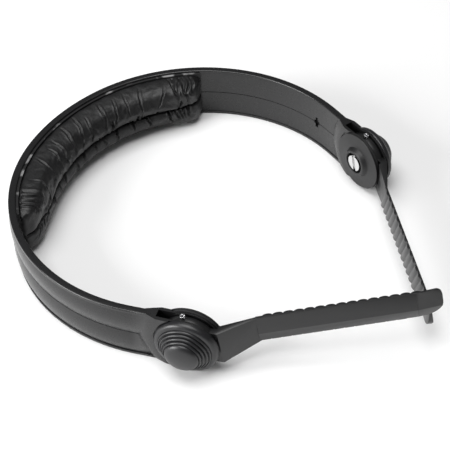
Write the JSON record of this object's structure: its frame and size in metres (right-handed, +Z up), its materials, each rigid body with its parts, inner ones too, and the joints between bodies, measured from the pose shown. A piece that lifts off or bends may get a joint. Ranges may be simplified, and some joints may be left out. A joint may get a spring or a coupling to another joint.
{
  "type": "magnifier headband",
  "caption": "Padded C-shaped spring headband of a head-worn magnifier, with forked ends, friction knobs and toed-in ribbed arms that carry a lens plate.",
  "frame": {"origin": "middle of the bounding box in plan, on the flat surface that the headband lies on", "axes": "+X from the back pad forward to the arm tips, +Y to the wearer's left, +Z up with the band lying on its lower edge"},
  "size_m": [0.1954, 0.1544, 0.0327],
  "materials": {
    "band_nylon": "satin moulded black",
    "arm_nylon": "fine matt moulded black",
    "knob_nylon": "fine matt moulded black",
    "disc_nylon": "matt moulded black",
    "leatherette": "soft creased black leatherette",
    "foam": "open cell foam",
    "backing_board": "dull sheet",
    "fibre_washer": "dull fibre",
    "bolt_steel": "zinc plated",
    "pin_steel": "bright rolled steel",
    "nut_steel": "bright nickel plated"
  },
  "bodies": {
    "headband": {"headband": "band_nylon", "pad_cover": "leatherette", "pad_foam_lower": "foam", "pad_foam_upper": "foam", "pad_backing": "backing_board", "left_friction_washer_outer": "fibre_washer", "left_friction_washer_inner": "fibre_washer", "left_disc_washer": "disc_nylon", "left_inner_disc": "disc_nylon", "left_pivot_nut": "nut_steel", "right_friction_washer_outer": "fibre_washer", "right_friction_washer_inner": "fibre_washer", "right_disc_washer": "disc_nylon", "right_inner_disc": "disc_nylon", "right_pivot_nut": "nut_steel"},
    "left_arm": {"left_arm": "arm_nylon", "left_stop_pin": "pin_steel"},
    "left_knob": {"left_knob": "knob_nylon", "left_pivot_bolt": "bolt_steel", "left_disc_spring": "bolt_steel"},
    "right_arm": {"right_arm": "arm_nylon", "right_stop_pin": "pin_steel"},
    "right_knob": {"right_knob": "knob_nylon", "right_pivot_bolt": "bolt_steel", "right_disc_spring": "bolt_steel"}
  },
  "joints": [
    {"name": "left_arm_pivot", "type": "hinge", "parent": "headband", "child": "left_arm", "pos_m": [0.02402, 0.06245, 0.0136], "axis": [-0.3256, -0.9455, 0], "range_deg": [-65.5, 59.8]},
    {"name": "right_arm_pivot", "type": "hinge", "parent": "headband", "child": "right_arm", "pos_m": [0.02402, -0.06245, 0.0136], "axis": [0.3256, -0.9455, 0], "range_deg": [-74.4, 50.9]},
    {"name": "left_knob_turn", "type": "hinge", "parent": "headband", "child": "left_knob", "pos_m": [0.02402, 0.06245, 0.0136], "axis": [0.3256, 0.9455, 0], "range_deg": [-30, 300]},
    {"name": "right_knob_turn", "type": "hinge", "parent": "headband", "child": "right_knob", "pos_m": [0.02402, -0.06245, 0.0136], "axis": [0.3256, -0.9455, 0], "range_deg": [-30, 300]}
  ]
}
